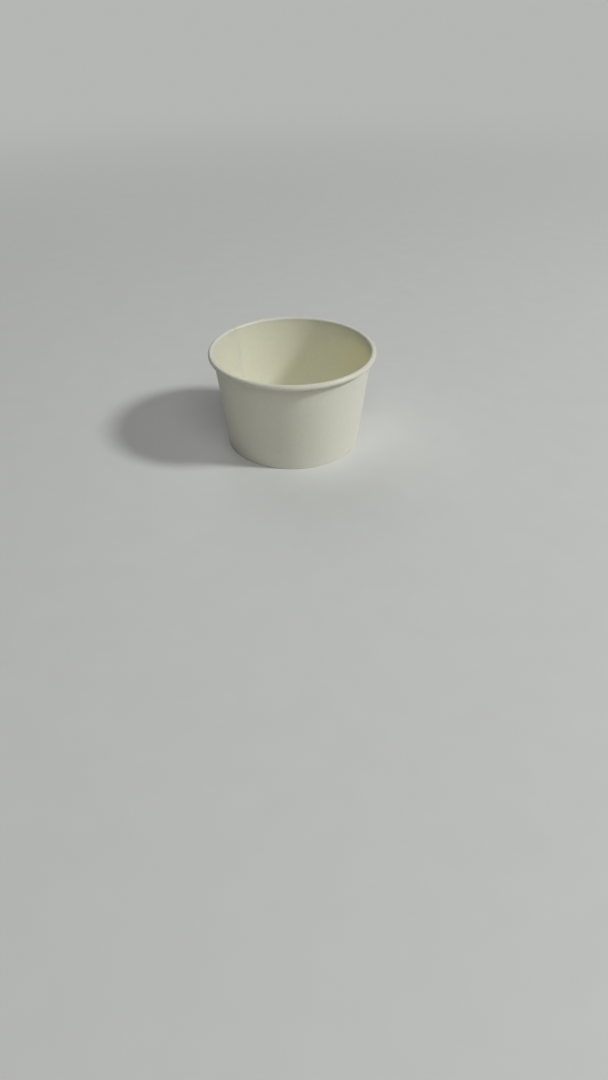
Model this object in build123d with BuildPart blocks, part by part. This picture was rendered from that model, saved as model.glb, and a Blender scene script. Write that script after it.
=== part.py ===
from build123d import *

import os
from math import acos, asin, atan2, cos, degrees, hypot, radians, sin, tan

# A paper sundae cup, made of two pieces of board. The side wall is one sheet: it is wrapped into a
# cone, its ends are lapped and sealed, its top edge is rolled outward into the rim and its bottom
# edge is folded inward. The bottom is a disc with its edge drawn down into a skirt, and the fold of
# the side wall holds that skirt. Millimetres, +Z up, with the origin at the middle of the ring that
# the cup stands on.

# Size of the cup
rim_diameter = 90.0  # over the rolled bead
base_diameter = 73.5  # over the side wall, where it meets the table
cup_height = 53.0  # from the table to the top of the bead
bead_diameter = 3.0  # across the rolled bead

# Board
wall_board = 0.38  # thickness of the side wall
bottom_board = 0.30  # thickness of the bottom
seal = 0.02  # melted coating between the skirt and the board beside it

# Base
recess_depth = 5.3  # from the table to the underside of the bottom
hem_clearance = 1.0  # from the cut edge of the hem to the underside of the bottom
skirt_clearance = 0.1  # from the cut edge of the skirt to the inside of the fold

# Rim
curl_clearance = 0.2  # from the rolled edge to the seam beside it
curl_flats = 10  # short flats that the rolled edge takes to come round

# Side seam
seam_angle = 140.0  # from +X towards +Y, to the end of the sheet that shows inside
lap_width = 6.0  # how far the sheet laps over its own end, round the rim
climb_width = 1.5  # how far the sheet takes to climb over its own end, round the rim
lap_trim = 0.6  # from the inside of the fold to the trimmed foot of the lap

# The bead is a circle in section, and the side wall is the tangent from the base to that circle.
bead_radius = bead_diameter / 2
bead_centre = (rim_diameter / 2 - bead_radius, cup_height - bead_radius)
base_to_bead = (bead_centre[0] - base_diameter / 2, bead_centre[1])
tangent_turn = asin((bead_radius - wall_board) / hypot(*base_to_bead))
slope = atan2(*base_to_bead) - tangent_turn
out_of_wall = (cos(slope), -sin(slope))
into_cup = (-cos(slope), sin(slope))
down = (0, -1)

# At the seam the wall is two boards thick, and the rolled edge stops short of it.
half_board = wall_board / 2
seam_board = 2 * wall_board
curl_turn = 360 - degrees(acos((bead_radius - seam_board - curl_clearance) / bead_radius))

# The fold leaves a groove as wide as the skirt and its two seals.
groove_width = bottom_board + 2 * seal
hem_height = recess_depth - hem_clearance
skirt_foot = wall_board + skirt_clearance
floor_height = recess_depth + bottom_board

# Height of the seam's foot, and the seam's widths round the rim as angles about the cup's axis
lap_foot = wall_board + lap_trim
lap_angle = degrees(lap_width / (rim_diameter / 2))
climb_angle = degrees(climb_width / (rim_diameter / 2))


def wall_point(depth, height):
    """A point of the section, at a depth in the board from its inner face, and at a height."""
    outer_radius = base_diameter / 2 + height * tan(slope)
    return (outer_radius - (wall_board - depth) / cos(slope), height)


def shifted(point, direction, distance):
    """The point moved along a direction of the section."""
    return (point[0] + direction[0] * distance, point[1] + direction[1] * distance)


def curl_points(depth):
    """The rolled edge at a depth in the board, from the wall over the top and round to the cut."""
    turns = [slope + radians(curl_turn * flat / curl_flats) for flat in range(curl_flats + 1)]
    return [shifted(bead_centre, (-cos(turn), sin(turn)), bead_radius - depth) for turn in turns]


def section_plane(angle):
    """The upright plane through the cup's axis, at an angle about it."""
    turn = radians(angle)
    return Plane(origin=(0, 0, 0), x_dir=(cos(turn), sin(turn), 0), z_dir=(sin(turn), -cos(turn), 0))


def sheet_section():
    """Section of the whole sheet, from its rolled edge down the wall and round the fold to the hem."""
    wall_side = wall_point(0, wall_board)
    hem_side = wall_point(-groove_width, wall_board)
    hem_top = wall_point(-groove_width, hem_height)
    with BuildSketch(Plane.XZ) as section:
        with BuildLine():
            Polyline(
                *reversed(curl_points(0)),
                wall_side,
                hem_side,
                hem_top,
                shifted(hem_top, into_cup, wall_board),
                shifted(hem_side, into_cup, wall_board),
                shifted(hem_side, down, wall_board),
                shifted(wall_side, down, wall_board),
                shifted(wall_side, out_of_wall, wall_board),
                *curl_points(wall_board),
                close=True,
            )
        make_face()
    return section.sketch


def layer_section(angle, inner, outer):
    """Section of a layer between two depths, from the seam's foot up the wall to the rolled edge."""
    with BuildSketch(section_plane(angle)) as section:
        with BuildLine():
            Polyline(
                wall_point(inner, lap_foot),
                *curl_points(inner),
                *reversed(curl_points(outer)),
                wall_point(outer, lap_foot),
                close=True,
            )
        make_face()
    return section.sketch


# Lap: the outer layer of the seam and its climb over the end of the sheet. It is drawn from the
# middle of the board under it, because the two are sealed into one.
climb_start = seam_angle - climb_angle
lap_face = layer_section(seam_angle, half_board, seam_board)
low_face = layer_section(climb_start, half_board, wall_board - seal)
with BuildPart() as lap:
    revolve(lap_face, Axis.Z, lap_angle)
    loft([low_face, lap_face], ruled=True)

# Groove: the wedge that the sheet leaves open inside the cup where it climbs over its own end.
shallow_face = layer_section(climb_start, -half_board, -seal)
deep_face = layer_section(seam_angle, -half_board, wall_board)
with BuildPart() as groove:
    loft([shallow_face, deep_face], ruled=True)

# Side wall: the sheet goes all the way round, and the seam is added to it.
with BuildPart() as side_wall:
    revolve(sheet_section(), Axis.Z)
    add(lap.part)
    add(groove.part, mode=Mode.SUBTRACT)
side_wall.part.label = "side_wall"

# Bottom: a disc and its skirt, which runs down beside the wall into the groove of the fold.
with BuildPart() as bottom_disc:
    with BuildSketch(Plane.XZ) as bottom_section:
        with BuildLine():
            Polyline(
                (0, recess_depth),
                wall_point(-seal - bottom_board, recess_depth),
                wall_point(-seal - bottom_board, skirt_foot),
                wall_point(-seal, skirt_foot),
                wall_point(-seal, floor_height),
                (0, floor_height),
                close=True,
            )
        make_face()
        drawn_edge = bottom_section.vertices().group_by(Axis.Y)[-1].sort_by(Axis.X)[-1]
        chamfer(drawn_edge, length=bottom_board)
    revolve(axis=Axis.Z)
bottom_disc.part.label = "bottom_disc"

os.makedirs("parts", exist_ok=True)
export_step(side_wall.part, "parts/side_wall.step")
export_step(bottom_disc.part, "parts/bottom_disc.step")
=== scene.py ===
# %% [markdown]
# # A paper sundae cup
#
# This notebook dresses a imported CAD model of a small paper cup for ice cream. The CAD model is the
# frame: it says where everything is, in metres, with the origin on the table at the middle of the
# cup and +Z up.
#
# A real cup of this kind is two pieces of coated board. The side wall is one sheet, wrapped into a
# cone. Its ends are lapped and sealed, its top edge is rolled outward into the rim, and its bottom
# edge is folded inward. The bottom is a disc with its edge drawn down into a skirt, which the fold
# of the side wall grips. We make both of them again here with a real board thickness, smooth bends,
# cut edges and the marks of the machine that formed them.

# %% Load the frame
import random
from math import asin, atan2, cos, degrees, hypot, pi, radians, sin, tan

import bpy
from mathutils import Matrix, Vector


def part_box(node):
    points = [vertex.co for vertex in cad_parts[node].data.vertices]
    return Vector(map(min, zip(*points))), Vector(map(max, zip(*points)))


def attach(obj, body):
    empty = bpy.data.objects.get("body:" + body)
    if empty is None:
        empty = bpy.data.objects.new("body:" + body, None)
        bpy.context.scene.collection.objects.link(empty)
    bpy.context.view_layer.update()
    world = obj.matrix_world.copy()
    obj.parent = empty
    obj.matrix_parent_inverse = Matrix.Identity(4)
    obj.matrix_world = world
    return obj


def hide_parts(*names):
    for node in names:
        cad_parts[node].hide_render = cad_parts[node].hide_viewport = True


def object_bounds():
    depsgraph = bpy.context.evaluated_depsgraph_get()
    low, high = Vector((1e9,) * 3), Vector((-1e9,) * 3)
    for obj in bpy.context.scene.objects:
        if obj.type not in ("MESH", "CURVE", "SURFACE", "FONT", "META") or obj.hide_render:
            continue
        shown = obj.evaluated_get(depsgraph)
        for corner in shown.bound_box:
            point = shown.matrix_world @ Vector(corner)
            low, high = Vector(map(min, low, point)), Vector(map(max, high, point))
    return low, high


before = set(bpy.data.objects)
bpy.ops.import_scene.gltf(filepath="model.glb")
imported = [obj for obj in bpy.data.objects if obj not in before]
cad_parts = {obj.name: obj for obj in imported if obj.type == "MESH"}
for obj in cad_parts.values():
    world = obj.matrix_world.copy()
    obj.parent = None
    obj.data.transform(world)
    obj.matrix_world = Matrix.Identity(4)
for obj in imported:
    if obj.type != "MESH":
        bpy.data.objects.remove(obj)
cad_low, cad_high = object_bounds()
wall_low, wall_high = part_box("side_wall")
disc_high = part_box("bottom_disc")[1]
MM = 0.001


def in_mm(lengths):
    """Lengths in millimetres, rounded for the printed lines."""
    return [round(length / MM, 3) for length in lengths]


print("nodes:", sorted(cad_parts), "cup (mm):", in_mm(cad_high - cad_low))

# %% [markdown]
# ## The camera
#
# The photo looks down on the cup from the front with the wide lens of a phone. The place of the
# camera was found by fitting the rim's ellipse, the base and the two sides of the cup: it stands
# 39 cm in front, 23 cm above the table, and looks down by 38 degrees. We turn the camera by
# matrices, one for the pitch and one for the small roll, so their order can't be mixed up.

# %% Camera
CAMERA_PLACE = (5.68 * MM, -392.03 * MM, 228.23 * MM)
CAMERA_PITCH = radians(37.90)
CAMERA_ROLL = radians(-0.365)
LENS = 26.0
SENSOR_WIDTH = 36.0
NEAREST_SEEN = 0.01
FARTHEST_SEEN = 60.0

bpy.ops.object.select_all(action="DESELECT")
bpy.ops.object.camera_add(location=CAMERA_PLACE)
camera = bpy.context.object
camera.name = "photo_camera"
camera.data.lens = LENS
camera.data.sensor_width = SENSOR_WIDTH
pitch_turn = Matrix.Rotation(pi / 2 - CAMERA_PITCH, 4, "X")
roll_turn = Matrix.Rotation(CAMERA_ROLL, 4, "Z")
camera.rotation_euler = (pitch_turn @ roll_turn).to_euler()
camera.data.clip_start = NEAREST_SEEN
camera.data.clip_end = FARTHEST_SEEN
bpy.context.scene.camera = camera
print("camera at (mm):", in_mm(camera.location), "lens:", LENS)

# %% [markdown]
# ## The board
#
# The cup is ivory paperboard with a thin layer of plastic melted on both sides. From a step away it
# is one soft satin ivory. Close up, the fibres show as a faint mottle under the coating, and the
# coating itself is a little uneven, which breaks up the highlights.
#
# Board this thin also lets some light through, and it comes out warmer: that is why the shaded side
# of a paper cup is never grey. Subsurface scattering over less than a millimetre does it. Blender
# takes its reach from the face that is looked at, so each side of the board can glow as much as it
# does in the photo: the inside most, the outside less, and the rolled rim hardly at all.
#
# The finishes are made before the pieces, because the Solidify modifier gives the inside, the
# outside and the cut edges of a sheet their own material slots, and it needs to find them there.

# %% Board finish
FIBRE_SCALE = 700.0
COATING_SCALE = 180.0
GRAIN_SCALE = 2600.0
GRAIN_HEIGHT = 0.03 * MM
MOTTLE_RANGE = (0.32, 0.68)
SATIN_SPREAD = 0.07
GLOW_REACH = (1.0, 0.94, 0.68)


def board_material(name, color, roughness, grain, glow, mottle=0.02):
    """Coated paperboard: fibre mottle in the colour, uneven satin, a fine grain, and some glow."""
    material = bpy.data.materials.new(name)
    material.use_nodes = True
    nodes = material.node_tree.nodes
    links = material.node_tree.links
    shader = nodes["Principled BSDF"]
    shader.inputs["Subsurface Weight"].default_value = 1.0
    shader.inputs["Subsurface Radius"].default_value = GLOW_REACH
    shader.inputs["Subsurface Scale"].default_value = glow
    place = nodes.new("ShaderNodeTexCoord")

    def noise(scale, detail, distortion=0.0):
        node = nodes.new("ShaderNodeTexNoise")
        node.inputs["Scale"].default_value = scale
        node.inputs["Detail"].default_value = detail
        node.inputs["Distortion"].default_value = distortion
        links.new(place.outputs["Object"], node.inputs["Vector"])
        return node.outputs["Fac"]

    tint = nodes.new("ShaderNodeValToRGB")
    darker, lighter = tint.color_ramp.elements
    darker.position, lighter.position = MOTTLE_RANGE
    darker.color = (*[channel * (1 - mottle) for channel in color], 1)
    lighter.color = (*[min(1.0, channel * (1 + mottle)) for channel in color], 1)
    links.new(noise(FIBRE_SCALE, detail=6.0, distortion=0.8), tint.inputs["Fac"])
    links.new(tint.outputs["Color"], shader.inputs["Base Color"])

    satin = nodes.new("ShaderNodeMapRange")
    satin.inputs["To Min"].default_value = roughness - SATIN_SPREAD
    satin.inputs["To Max"].default_value = roughness + SATIN_SPREAD
    links.new(noise(COATING_SCALE, detail=3.0), satin.inputs["Value"])
    links.new(satin.outputs["Result"], shader.inputs["Roughness"])

    bump = nodes.new("ShaderNodeBump")
    bump.inputs["Strength"].default_value = grain
    bump.inputs["Distance"].default_value = GRAIN_HEIGHT
    links.new(noise(GRAIN_SCALE, detail=4.0), bump.inputs["Height"])
    links.new(bump.outputs["Normal"], shader.inputs["Normal"])
    return material


print("patterns across the board, per metre:", FIBRE_SCALE, COATING_SCALE, GRAIN_SCALE)

# %% [markdown]
# The cup needs this board in five ways. The inside and the outside are the same coated board, and
# the outside glows less. A cut edge has no coating, so it is rough and shows its bare fibres. The
# rolled rim and the sealed lap are more than one board thick, so less light comes through them. The
# rolled rim's colour is also a little darker than the board's, which is painted shade.

# %% The five finishes
INSIDE = (0.740, 0.733, 0.612)
OUTSIDE = (0.752, 0.748, 0.658)
CUT_EDGE = (0.760, 0.735, 0.650)
# Painted shade: the rolled rim's colour is a little darker than the board it is made of.
RIM_PAINTED_SHADE = (0.695, 0.684, 0.585)
FINISHES = [
    board_material("inside_board", INSIDE, roughness=0.42, grain=0.35, glow=0.90 * MM),
    board_material("outside_board", OUTSIDE, roughness=0.48, grain=0.40, glow=0.32 * MM),
    board_material("cut_edge", CUT_EDGE, roughness=0.85, grain=1.00, glow=0.40 * MM, mottle=0.10),
    board_material("rolled_rim_painted_shade", RIM_PAINTED_SHADE, roughness=0.40, grain=0.35, glow=0.25 * MM),
    board_material("sealed_lap", INSIDE, roughness=0.42, grain=0.35, glow=0.45 * MM),
]
INSIDE_SLOT, OUTSIDE_SLOT, EDGE_SLOT, RIM_SLOT, LAP_SLOT = range(len(FINISHES))
print("finishes:", [finish.name for finish in FINISHES])

# %% [markdown]
# ## The section of the sheet
#
# Cut through the cup with a knife and the side wall shows as one line: it rises from the fold at
# the table, leans outward to the rim, and rolls over into the bead. Every bend of the real sheet
# was pressed or rolled from that flat line, so this line is all that we have to draw. The rest is a
# turn about the cup's axis.
#
# The sizes are those of the CAD model. The rim's radius and the cup's height are read from the
# frame, so the new wall can't come out larger than the solid that it stands for. Widths round the
# wall are given as they measure at the rim, and become angles about the cup's axis.

# %% Sizes of the side wall
NOMINAL_RADIUS = 45.0 * MM
WALL_BOARD = 0.38 * MM
BOTTOM_BOARD = 0.30 * MM
SEAL = 0.02 * MM
BASE_RADIUS = 36.75 * MM
BEAD_RADIUS = 1.5 * MM
HEM_HEIGHT = 4.3 * MM
LAP_FOOT = 0.98 * MM
SEAM_ANGLE = radians(140.0)
LAP_ANGLE = 6.0 * MM / NOMINAL_RADIUS
CLIMB_ANGLE = 2.5 * MM / NOMINAL_RADIUS

rim_radius = min(wall_high.x, wall_high.y, -wall_low.x, -wall_low.y)
bead_x = rim_radius - BEAD_RADIUS
bead_z = wall_high.z - BEAD_RADIUS
reach = hypot(bead_x - BASE_RADIUS, bead_z)
slope = atan2(bead_x - BASE_RADIUS, bead_z) - asin((BEAD_RADIUS - WALL_BOARD) / reach)
groove = BOTTOM_BOARD + 2 * SEAL
up_wall = Vector((sin(slope), 0, cos(slope)))
into_cup = Vector((-cos(slope), 0, sin(slope)))


def wall_point(depth, height):
    """A point of the section at a depth in the board from its inner face, and at a height."""
    outer = BASE_RADIUS + height * tan(slope)
    return Vector((outer - (WALL_BOARD - depth) / cos(slope), 0, height))


def depth_of(place):
    """How deep a place of the cup lies in the board, measured from the wall's inner face."""
    outer = BASE_RADIUS + place.z * tan(slope)
    return WALL_BOARD - (outer - hypot(place.x, place.y)) * cos(slope)


print("rim radius (mm):", in_mm([rim_radius]), "slope (degrees):", round(degrees(slope), 2))

# %% [markdown]
# ## Helpers for edit mode
#
# In edit mode we would box-select what we need. A script has no mouse, so `choose` selects the
# vertices whose place passes a test. It leaves edit mode to set the flags, because Blender reads
# them from the mesh when edit mode starts again. `draw_to` extrudes the last vertex of a line to a
# new place, which is what the key E does with one vertex selected. `weigh` fills a vertex group,
# the way we would paint weights, and `modifier` adds a modifier and applies it at once.

# %% Edit helpers
TINY = 0.002 * MM


def choose(piece, test):
    """Selects, in vertex mode, the vertices whose place passes the test, and says how many."""
    bpy.ops.object.mode_set(mode="EDIT")
    bpy.ops.mesh.select_mode(type="VERT")
    bpy.ops.mesh.select_all(action="DESELECT")
    bpy.ops.object.mode_set(mode="OBJECT")
    chosen = 0
    for vertex in piece.data.vertices:
        vertex.select = bool(test(vertex.co))
        chosen += vertex.select
    bpy.ops.object.mode_set(mode="EDIT")
    return chosen


def draw_to(start, end):
    """Extrudes the selected vertex from start to end, and gives the end back."""
    bpy.ops.mesh.extrude_region_move(TRANSFORM_OT_translate={"value": end - start})
    return end


def weigh(piece, name, weight_of):
    """Fills a vertex group with weights that come from each vertex's place."""
    group = piece.vertex_groups.get(name) or piece.vertex_groups.new(name=name)
    weighted = 0
    for vertex in piece.data.vertices:
        weight = weight_of(vertex.co)
        if weight > 0:
            group.add([vertex.index], weight, "REPLACE")
            weighted += 1
    return weighted


def modifier(piece, kind, name, **settings):
    """Adds a modifier with its settings and applies it."""
    added = piece.modifiers.new(name, kind)
    for setting, value in settings.items():
        setattr(added, setting, value)
    bpy.ops.object.modifier_apply(modifier=name)


# %% [markdown]
# ## Drawing the section
#
# The bead starts as a circle primitive of its real size, standing upright at the rim. The part of
# the circle that the rolled edge doesn't reach is deleted. The end that touches the wall is then
# extruded down the wall, turned round the two tight corners of the fold with small spins, and
# extruded up the hem. The line follows the inner face of the sheet, because the tightest bends are
# on that face, and the board's thickness is added on its other side later.
#
# The circle is turned a little so that one of its vertices is exactly where the wall leaves it.

# %% The bead's circle
BEAD_POINTS = 47
CURL_STEPS = 38
bead_step = 2 * pi / BEAD_POINTS
bead_turn = (slope - pi / 2) % bead_step

bpy.ops.object.select_all(action="DESELECT")
bpy.ops.mesh.primitive_circle_add(
    vertices=BEAD_POINTS,
    radius=BEAD_RADIUS,
    location=(bead_x, 0, bead_z),
    rotation=(pi / 2, bead_turn, 0),
)
side_wall = bpy.context.object
side_wall.name = "side_wall_sheet"
bpy.ops.object.transform_apply(location=True, rotation=True, scale=True)


def curl_of(place):
    """How far round the bead a place is, from where the wall meets it, over the top and round."""
    return (atan2(place.z - bead_z, bead_x - place.x) - slope + bead_step / 2) % (2 * pi)


choose(side_wall, lambda place: curl_of(place) > (CURL_STEPS + 1) * bead_step)
bpy.ops.mesh.delete(type="VERT")
choose(side_wall, lambda place: curl_of(place) < bead_step)
bead_foot = wall_point(0, bead_z + BEAD_RADIUS * sin(slope))
print("bead vertices:", CURL_STEPS + 1, "foot of the bead (mm):", in_mm(bead_foot))

# %% [markdown]
# The wall is straight in section, but it gets rows of vertices, because the sheet is not quite even
# and the rows let us show it. One of the rows is at the foot of the lap, where the outer layer of
# the seam is trimmed.

# %% Down the wall
WALL_ROWS = 18
FOLD_ROUND = 0.05 * MM
FOLD_STEPS = 6

first_turn = pi / 2 - slope
second_turn = pi / 2 + slope
fold_start = wall_point(0, WALL_BOARD) + up_wall * FOLD_ROUND * tan(first_turn / 2)

pen = bead_foot
for row in range(1, WALL_ROWS + 1):
    height = bead_foot.z + (LAP_FOOT - bead_foot.z) * row / WALL_ROWS
    pen = draw_to(pen, wall_point(0, height))
pen = draw_to(pen, fold_start)
print("wall drawn down to (mm):", in_mm(pen))

# %% [markdown]
# A spin of a single vertex about an axis across the section draws an arc. Blender turns a spin
# against the right-hand rule, so the angle is negative here to turn the line inward under the cup.
# Between the two corners lies the flat ring that the cup stands on, as wide as the skirt that the
# fold holds.

# %% Round the fold and up the hem
HEM_ROWS = 7
ACROSS = (0, 1, 0)

first_centre = fold_start + into_cup * FOLD_ROUND
bpy.ops.mesh.spin(steps=FOLD_STEPS, angle=-first_turn, center=first_centre, axis=ACROSS)
first_end = wall_point(0, WALL_BOARD) - Vector((FOLD_ROUND * tan(first_turn / 2), 0, 0))
hem_corner = wall_point(-groove, WALL_BOARD)
second_start = hem_corner + Vector((FOLD_ROUND * tan(second_turn / 2), 0, 0))
draw_to(first_end, second_start)
second_centre = second_start + Vector((0, 0, FOLD_ROUND))
bpy.ops.mesh.spin(steps=FOLD_STEPS, angle=-second_turn, center=second_centre, axis=ACROSS)
pen = hem_corner + up_wall * FOLD_ROUND * tan(second_turn / 2)
hem_foot = pen.z
for row in range(1, HEM_ROWS + 1):
    height = hem_foot + (HEM_HEIGHT - hem_foot) * row / HEM_ROWS
    pen = draw_to(pen, wall_point(-groove, height))
bpy.ops.object.mode_set(mode="OBJECT")
print("vertices of the section:", len(side_wall.data.vertices))

# %% [markdown]
# ## Wrapping the sheet
#
# The machine wraps the flat sheet round a cone. We spin the section about the cup's axis instead,
# which gives the same shape: the sheet starts at its own cut end, inside the cup, and goes nearly
# all the way round. It stops where it begins to climb over that end. A column of faces is three
# quarters of a millimetre wide at the rim, so the silhouette is smooth and the knurling of the hem
# has enough columns later.

# %% Spin the sheet
COLUMN = 0.75 * MM / NOMINAL_RADIUS
main_turn = 2 * pi - CLIMB_ANGLE


def turn_on(steps, angle):
    """Spins what is selected on round the cup's axis, the way the sheet is wrapped."""
    bpy.ops.mesh.spin(steps=steps, angle=-angle, center=(0, 0, 0), axis=(0, 0, 1))


bpy.ops.object.mode_set(mode="EDIT")
bpy.ops.mesh.select_all(action="SELECT")
turn_on(round(main_turn / COLUMN), main_turn)
bpy.ops.object.mode_set(mode="OBJECT")
print("faces once round:", len(side_wall.data.polygons))

# %% [markdown]
# Below the foot of the lap the fold closes on itself, so that part of the last column is spun on to
# meet the first and merged with it.


# %% Close the fold
def at_turn(place, turn):
    """Whether a place is at an angle about the cup's axis, counted from the end of the sheet."""
    return abs((atan2(place.y, place.x) - turn + pi) % (2 * pi) - pi) < COLUMN / 100


def in_fold(place):
    """Whether a place belongs to the fold, the hem or the strip below the foot of the lap."""
    return place.z < LAP_FOOT + TINY or depth_of(place) < -groove / 2


def in_flap(place):
    """Whether a place belongs to the part of the sheet that laps over its own end."""
    return place.z > LAP_FOOT - TINY and depth_of(place) > -groove / 2


CLIMB_STEPS = 10
fold_column = choose(side_wall, lambda place: at_turn(place, -CLIMB_ANGLE) and in_fold(place))
turn_on(CLIMB_STEPS, CLIMB_ANGLE)
choose(side_wall, lambda place: at_turn(place, 0) and in_fold(place))
bpy.ops.mesh.remove_doubles(threshold=TINY)
bpy.ops.object.mode_set(mode="OBJECT")
print("rows that close in the fold:", fold_column)

# %% [markdown]
# Above it, the sheet climbs over its own end in a soft step and laps over it. We can't move the lap
# outward by hand and keep the climb even, so we write down how far each vertex has to move, as
# weights in a vertex group. The last column of the climb gets the weight 1 while it is selected,
# and the spin that makes the lap copies it. The columns before it get their weights by their place:
# on the wall the climb is wide and soft, and in the rim, where the rolling tool presses it, short.

# %% Climb and lap
LAP_STEPS = 8
RIM_CLIMB = 1.1 * MM
CLIMB_BLEND = 7.0 * MM
climb_width = CLIMB_ANGLE * rim_radius


def climb_weight(place):
    """Rises from 0 at the foot of the climb to 1 at the end of the sheet."""
    to_end = -atan2(place.y, place.x) * rim_radius
    if not in_flap(place) or not TINY < to_end < climb_width:
        return 0
    near_rim = min(1.0, max(0.0, 1 - (bead_foot.z - place.z) / CLIMB_BLEND))
    width = climb_width + (RIM_CLIMB - climb_width) * near_rim
    return (1 + cos(pi * min(1.0, to_end / width))) / 2


side_wall.vertex_groups.new(name="climb")
flap_column = choose(side_wall, lambda place: at_turn(place, -CLIMB_ANGLE) and in_flap(place))
turn_on(CLIMB_STEPS, CLIMB_ANGLE)
bpy.context.scene.tool_settings.vertex_group_weight = 1.0
bpy.ops.object.vertex_group_assign()
turn_on(LAP_STEPS, LAP_ANGLE)
bpy.ops.mesh.select_all(action="SELECT")
bpy.ops.mesh.normals_make_consistent(inside=False)
bpy.ops.object.mode_set(mode="OBJECT")
climbing = weigh(side_wall, "climb", climb_weight)
middle = wall_point(0, cad_high.z / 2)
middle_face = min(side_wall.data.polygons, key=lambda face: (face.center - middle).length)
print("rows:", flap_column, "climbing vertices:", climbing)
print("a normal of the wall, pointing into the cup:", [round(c, 2) for c in middle_face.normal])

# %% [markdown]
# A Displace modifier without a texture moves every vertex along its normal by the strength times
# its weight. The normals point into the cup, so a negative strength moves the lap outward, and in
# the bead it moves it toward the middle of the roll, as in the real cup.

# %% Lift the lap
LAP_GAP = 0.005 * MM


def press(piece, group, depth):
    """Moves the vertices of a group against their normals by a depth, times their weights."""
    modifier(piece, "DISPLACE", group, vertex_group=group, mid_level=0.0, strength=-depth)


press(side_wall, "climb", WALL_BOARD + LAP_GAP)
print("lap lifted by (mm):", in_mm([WALL_BOARD + LAP_GAP]))

# %% [markdown]
# Board that was wrapped and sealed is never a perfect cone: between the stiff rim and the stiff
# fold it is up to a tenth of a millimetre uneven, which shows where the light grazes it. A second
# Displace reads a soft cloud texture in the piece's own coordinates. Its weight fades to nothing at
# the bead and at the fold, so both of them stay true.

# %% Unevenness of the wall
UNEVEN_HEIGHT = 0.20 * MM
UNEVEN_SIZE = 17.0 * MM
TWO_BOARDS = 2.2 * WALL_BOARD

uneven = bpy.data.textures.new("uneven_board", "CLOUDS")
uneven.noise_scale = UNEVEN_SIZE
uneven.noise_depth = 1


def between_rim_and_fold(place):
    """1 in the middle of the wall, fading to 0 at the bead and at the fold."""
    span = (place.z - LAP_FOOT) / (bead_foot.z - LAP_FOOT)
    on_wall = -groove / 2 < depth_of(place) < TWO_BOARDS
    return sin(pi * span) if on_wall and 0 < span < 1 else 0


def make_uneven(piece, group, height):
    """Moves the vertices of a group in and out along their normals by the cloud texture."""
    clouds = {"texture": uneven, "texture_coords": "LOCAL"}
    modifier(piece, "DISPLACE", "uneven", vertex_group=group, strength=height, **clouds)


wall_weights = weigh(side_wall, "wall", between_rim_and_fold)
make_uneven(side_wall, "wall", UNEVEN_HEIGHT)
print("vertices of the wall:", wall_weights)

# %% [markdown]
# Solidify gives the sheet its board. The drawn face stays where it is, and the thickness goes to
# the other side, and the rim of the modifier makes the cut edges. The drawn face keeps the first
# finish, and the two offsets give the other side the second and the cut edges the third.


# %% Thickness of the side wall
def thicken(piece, thickness, finishes):
    """Gives a sheet its finishes and its board, behind the face that was drawn."""
    for finish in finishes:
        piece.data.materials.append(finish)
    modifier(
        piece,
        "SOLIDIFY",
        "board",
        thickness=thickness,
        offset=-1.0,
        use_even_offset=True,
        use_rim=True,
        material_offset=OUTSIDE_SLOT - INSIDE_SLOT,
        material_offset_rim=EDGE_SLOT - INSIDE_SLOT,
    )


thicken(side_wall, WALL_BOARD, FINISHES)
print("side wall faces:", len(side_wall.data.polygons))

# %% [markdown]
# The rim is rolled up of several layers, so hardly any light comes through it, and the two sealed
# layers of the lap let less through than one. Both get a finish of their own with less glow. The
# rim's finish is also a little darker than the board, which is painted shade. The lap gets its
# finish on the face that shows inside the cup.


# %% Finish of the rim and the lap
def on_drawn_face(place):
    """Whether a place is on the face of the sheet that shows inside the cup and round the rim."""
    if place.z > bead_foot.z:
        from_roll = hypot(hypot(place.x, place.y) - bead_x, place.z - bead_z)
        return from_roll > BEAD_RADIUS - WALL_BOARD / 2
    return -groove / 2 < depth_of(place) < WALL_BOARD / 2


def in_rim(place):
    """Whether a place is in the rolled rim."""
    return place.z > bead_foot.z - TINY


def in_sealed_lap(place):
    """Whether a place is on the inner face of the wall where a second layer lies behind it."""
    on_wall = LAP_FOOT < place.z < bead_foot.z and on_drawn_face(place)
    return on_wall and -TINY < atan2(place.y, place.x) < LAP_ANGLE + TINY


for finish_slot, part_of_wall in ((RIM_SLOT, in_rim), (LAP_SLOT, in_sealed_lap)):
    chosen = choose(side_wall, part_of_wall)
    side_wall.active_material_index = finish_slot
    bpy.ops.object.material_slot_assign()
    bpy.ops.object.mode_set(mode="OBJECT")
    print("vertices with the finish", FINISHES[finish_slot].name + ":", chosen)

# %% [markdown]
# The seam is sealed hot and under pressure, which squeezes the end of the sheet that shows inside:
# its last two millimetres are thinner, so the line that it leaves on the wall and round the rim is
# a faint one. A vertex group marks that face beside the cut, and `press` moves it into the board.

# %% Press the end of the sheet
PRESS_DEPTH = 0.22 * MM
PRESS_ANGLE = 2.2 * MM / NOMINAL_RADIUS


def press_weight(place):
    """1 at the cut end that shows inside, fading round the wall, and 0 below the lap's foot."""
    turn = atan2(place.y, place.x)
    if place.z < LAP_FOOT or not -COLUMN / 2 < turn < PRESS_ANGLE or not on_drawn_face(place):
        return 0
    return (1 + cos(pi * max(0.0, turn) / PRESS_ANGLE)) / 2


pressed = weigh(side_wall, "press", press_weight)
press(side_wall, "press", PRESS_DEPTH)
print("pressed vertices:", pressed)

# %% [markdown]
# When the hem is sealed, a knurled wheel presses it against the skirt. The wheel leaves upright
# ribs on the face of the hem that shows from below. They are pressed in the same way: a vertex
# group holds the pattern, and `press` moves that face into the board.

# %% Knurl the hem
KNURL_RIBS = 94
KNURL_DEPTH = 0.15 * MM
KNURL_LOW = 1.1 * MM
KNURL_HIGH = 3.9 * MM
SMOOTH_ANGLE = radians(40)


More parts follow.
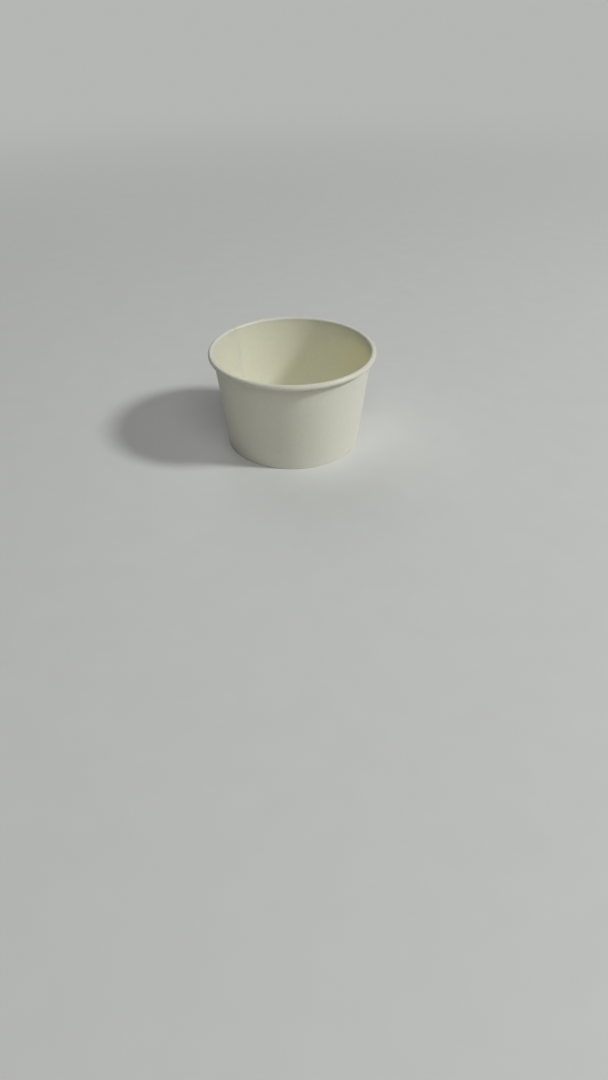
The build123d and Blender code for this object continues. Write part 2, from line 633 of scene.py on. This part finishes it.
def knurl_weight(place):
    """Rises and falls round the hem's visible face, and is 0 everywhere else."""
    on_face = depth_of(place) < -groove - WALL_BOARD / 2 and KNURL_LOW < place.z < KNURL_HIGH
    return (1 - cos(KNURL_RIBS * atan2(place.y, place.x))) / 2 if on_face else 0


knurled = weigh(side_wall, "knurl", knurl_weight)
press(side_wall, "knurl", KNURL_DEPTH)
bpy.ops.object.shade_smooth_by_angle(angle=SMOOTH_ANGLE)
print("knurled vertices:", knurled)

# %% [markdown]
# The sheet's own end lies at 140 degrees in the CAD model, at the left of the back wall, where the
# photo shows its faint line. So the whole piece is turned there, and the turn is applied. The
# finish, the press and the knurling came before it, because they count angles from that end.

# %% Turn the seam to its place
side_wall.rotation_euler = (0, 0, SEAM_ANGLE)
bpy.ops.object.transform_apply(location=True, rotation=True, scale=True)
farthest = [max(v.co[axis] for v in side_wall.data.vertices) for axis in range(3)]
print("side wall reaches (mm):", in_mm(farthest))

# %% [markdown]
# ## The bottom
#
# The bottom is cut as a round disc and pressed into the cup with its edge drawn down. It starts as
# a filled circle. The outer edge is extruded round the corner and down the skirt, one ring at a
# time, and after each extrude the ring is scaled about the cup's axis to the radius of the section.
# Insets then give the flat its rings, for the little unevenness of a pressed disc.

# %% Sizes of the bottom
DISC_COLUMNS = 360
DRAWN_ROUND = 0.5 * MM
DRAWN_STEPS = 6
SKIRT_ROWS = 4
SKIRT_FOOT = 0.48 * MM
DISC_RINGS = 12

floor_height = disc_high.z
corner_z = floor_height - DRAWN_ROUND
corner_x = wall_point(-SEAL, corner_z).x - DRAWN_ROUND / cos(slope)
print("height of the floor and radius of its flat (mm):", in_mm([floor_height, corner_x]))

# %% Disc and skirt
bpy.ops.object.select_all(action="DESELECT")
bpy.ops.mesh.primitive_circle_add(
    vertices=DISC_COLUMNS, radius=corner_x, fill_type="NGON", location=(0, 0, floor_height)
)
bottom = bpy.context.object
bottom.name = "bottom_disc_sheet"
bpy.ops.object.transform_apply(location=True, rotation=True, scale=True)

rings = []
for step in range(1, DRAWN_STEPS + 1):
    lean = pi / 2 - (pi / 2 + slope) * step / DRAWN_STEPS
    out, up = DRAWN_ROUND * cos(lean), DRAWN_ROUND * sin(lean)
    rings.append(Vector((corner_x + out, 0, corner_z + up)))
skirt_top = rings[-1].z
for row in range(1, SKIRT_ROWS + 1):
    rings.append(wall_point(-SEAL, skirt_top + (SKIRT_FOOT - skirt_top) * row / SKIRT_ROWS))

choose(bottom, lambda place: True)
bpy.ops.mesh.region_to_loop()
radius, height = corner_x, floor_height
for ring in rings:
    bpy.ops.mesh.extrude_region_move(TRANSFORM_OT_translate={"value": (0, 0, ring.z - height)})
    growth = ring.x / radius
    bpy.ops.transform.resize(value=(growth, growth, 1), center_override=(0, 0, 0))
    radius, height = ring.x, ring.z

choose(bottom, lambda place: place.z > floor_height - TINY)
for ring in range(DISC_RINGS):
    bpy.ops.mesh.inset(thickness=corner_x / (DISC_RINGS + 1))
bpy.ops.mesh.poke()
bpy.ops.mesh.select_all(action="SELECT")
bpy.ops.mesh.normals_make_consistent(inside=False)
bpy.ops.object.mode_set(mode="OBJECT")
print("bottom vertices:", len(bottom.data.vertices))

# %% [markdown]
# Drawing the edge down gathers the board into small pleats round the corner, each a little
# different. A list of random depths, one for every column and always the same because it is seeded,
# goes into a vertex group. The depths are squared, so that most pleats are shallow. The flat of the
# disc gets the same soft unevenness as the wall, which fades out only near its edge.

# %% Pleats of the drawn edge
PLEAT_DEPTH = 0.12 * MM
PLEAT_REACH = 1.6 * MM
PLEAT_SEED = 11
DISC_UNEVEN = 0.16 * MM
DISC_FADE = 4

random.seed(PLEAT_SEED)
pleats = [random.random() ** 2 for column in range(DISC_COLUMNS)]


def pleat_weight(place):
    """The pleat's depth at the drawn corner, fading out along the floor of the cup."""
    column = round(atan2(place.y, place.x) / (2 * pi) * DISC_COLUMNS) % DISC_COLUMNS
    off_corner = abs(hypot(place.x, place.y) - corner_x) / PLEAT_REACH
    return pleats[column] * max(0.0, 1 - off_corner) if place.z > skirt_top else 0


def on_disc(place):
    """1 in the middle of the disc, fading to 0 at the drawn corner."""
    outward = hypot(place.x, place.y) / corner_x
    return max(0.0, 1 - outward**DISC_FADE) if place.z > corner_z else 0


pleated = weigh(bottom, "pleats", pleat_weight)
weigh(bottom, "disc", on_disc)
press(bottom, "pleats", PLEAT_DEPTH)
make_uneven(bottom, "disc", DISC_UNEVEN)
print("pleated vertices:", pleated)

# %% Thickness of the bottom
thicken(bottom, BOTTOM_BOARD, FINISHES[: EDGE_SLOT + 1])
bpy.ops.object.shade_smooth_by_angle(angle=SMOOTH_ANGLE)
lowest = min(v.co.z for v in bottom.data.vertices)
print("bottom faces:", len(bottom.data.polygons), "foot of the skirt (mm):", in_mm([lowest]))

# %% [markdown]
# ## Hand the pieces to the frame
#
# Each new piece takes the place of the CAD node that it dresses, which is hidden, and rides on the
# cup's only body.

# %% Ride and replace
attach(side_wall, "root")
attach(bottom, "root")
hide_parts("side_wall")
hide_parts("bottom_disc")
print("pieces:", side_wall.name, bottom.name)

# %% [markdown]
# ## The backdrop
#
# The room is dark, so that only the lamps shape the cup. But what looks straight at the room, or
# sees it in a gloss, finds a pale backdrop there. Light Path tells these rays from the ones that
# carry light: `seen_directly` is 1 for them and 0 for all others, and it drives the strength of the
# world. The same helper serves the table below.

# %% World
BACKDROP = (0.46, 0.47, 0.46, 1)


def seen_directly(tree):
    """A node output that is 1 for rays from the camera, a gloss or glass, and 0 for others."""
    rays = tree.nodes.new("ShaderNodeLightPath")
    either = rays.outputs["Is Camera Ray"]
    for kind in ("Is Glossy Ray", "Is Transmission Ray"):
        larger = tree.nodes.new("ShaderNodeMath")
        larger.operation = "MAXIMUM"
        tree.links.new(either, larger.inputs[0])
        tree.links.new(rays.outputs[kind], larger.inputs[1])
        either = larger.outputs["Value"]
    return either


world = bpy.data.worlds.new("pale_backdrop")
bpy.context.scene.world = world
world.use_nodes = True
room = world.node_tree
room.nodes["Background"].inputs["Color"].default_value = BACKDROP
room.links.new(seen_directly(room), room.nodes["Background"].inputs["Strength"])
bpy.context.scene.view_settings.view_transform = "Standard"
print("world:", world.name)

# %% [markdown]
# The cup stands on a plain pale table with a faint mottle, an ordinary surface that takes the cup's
# shadow. It is large, so that its edge never shows.

# %% Table
TABLE_SIZE = 40.0
TABLE_DARK = (0.62, 0.63, 0.61, 1)
TABLE_LIGHT = (0.66, 0.67, 0.65, 1)
TABLE_ROUGHNESS = 0.6
TABLE_MOTTLE_SCALE = 60.0

bpy.ops.object.select_all(action="DESELECT")
bpy.ops.mesh.primitive_plane_add(size=TABLE_SIZE, location=(0, 0, 0))
table = bpy.context.object
table.name = "table_top"
paint = bpy.data.materials.new("table_paint")
paint.use_nodes = True
nodes, links = paint.node_tree.nodes, paint.node_tree.links
surface = nodes["Principled BSDF"]
surface.inputs["Roughness"].default_value = TABLE_ROUGHNESS
place = nodes.new("ShaderNodeTexCoord")

mottle = nodes.new("ShaderNodeTexNoise")
mottle.inputs["Scale"].default_value = TABLE_MOTTLE_SCALE
mottle.inputs["Detail"].default_value = 5.0
tint = nodes.new("ShaderNodeValToRGB")
darker, lighter = tint.color_ramp.elements
darker.color = TABLE_DARK
lighter.color = TABLE_LIGHT
links.new(place.outputs["Object"], mottle.inputs["Vector"])
links.new(mottle.outputs["Fac"], tint.inputs["Fac"])
links.new(tint.outputs["Color"], surface.inputs["Base Color"])
print("table:", table.name, TABLE_SIZE, "m")

# %% [markdown]
# Far from the cup, where the lamps no longer reach, the table fades into the backdrop, so that no
# dark band shows at the horizon in a low view. The fade is by the distance from the cup, and only
# for the rays that see the table directly.

# %% Fade into the backdrop
FADE_START = 0.25
FADE_END = 1.1

distance = nodes.new("ShaderNodeVectorMath")
distance.operation = "LENGTH"
links.new(place.outputs["Object"], distance.inputs[0])
fade = nodes.new("ShaderNodeMapRange")
fade.interpolation_type = "SMOOTHSTEP"
fade.inputs["From Min"].default_value = FADE_START
fade.inputs["From Max"].default_value = FADE_END
links.new(distance.outputs["Value"], fade.inputs["Value"])
fade_seen = nodes.new("ShaderNodeMath")
fade_seen.operation = "MULTIPLY"
links.new(fade.outputs["Result"], fade_seen.inputs[0])
links.new(seen_directly(paint.node_tree), fade_seen.inputs[1])
glow = nodes.new("ShaderNodeEmission")
glow.inputs["Color"].default_value = BACKDROP
blend = nodes.new("ShaderNodeMixShader")
links.new(fade_seen.outputs["Value"], blend.inputs["Fac"])
links.new(surface.outputs["BSDF"], blend.inputs[1])
links.new(glow.outputs["Emission"], blend.inputs[2])
links.new(blend.outputs["Shader"], nodes["Material Output"].inputs["Surface"])
table.data.materials.append(paint)
print("the table fades from", FADE_START, "to", FADE_END, "m")

# %% [markdown]
# ## The lamps
#
# The photo has its main light on the right, a little in front and about 41 degrees high. It throws
# the shadow to the left and leaves the right half of the inside in shade. A large soft lamp above
# the camera lifts the front to the photo's values, and a weak one behind the cup keeps its back
# from falling into the dark. They were balanced by rendering the cup by one lamp at a time: light
# adds up, so the powers follow from a fit.

# %% Lamps
LAMP_DISTANCE = 2.0


def add_lamp(name, height_angle, front_angle, size, power):
    """A round soft lamp that points at the cup. The front angle goes from +X toward the camera."""
    height, front = radians(height_angle), radians(front_angle)
    to_lamp = Vector((cos(height) * cos(front), -cos(height) * sin(front), sin(height)))
    bpy.ops.object.light_add(type="AREA", location=to_lamp * LAMP_DISTANCE)
    lamp = bpy.context.object
    lamp.name = name
    lamp.rotation_euler = to_lamp.to_track_quat("Z", "Y").to_euler()
    lamp.data.shape = "DISK"
    lamp.data.size = size
    lamp.data.energy = power
    print(name, [round(c, 2) for c in lamp.location], power, "W")


add_lamp("key_lamp", height_angle=41, front_angle=13, size=0.30, power=23.0)
add_lamp("soft_lamp", height_angle=55, front_angle=78, size=1.60, power=11.9)
add_lamp("back_lamp", height_angle=45, front_angle=-110, size=1.60, power=6.0)
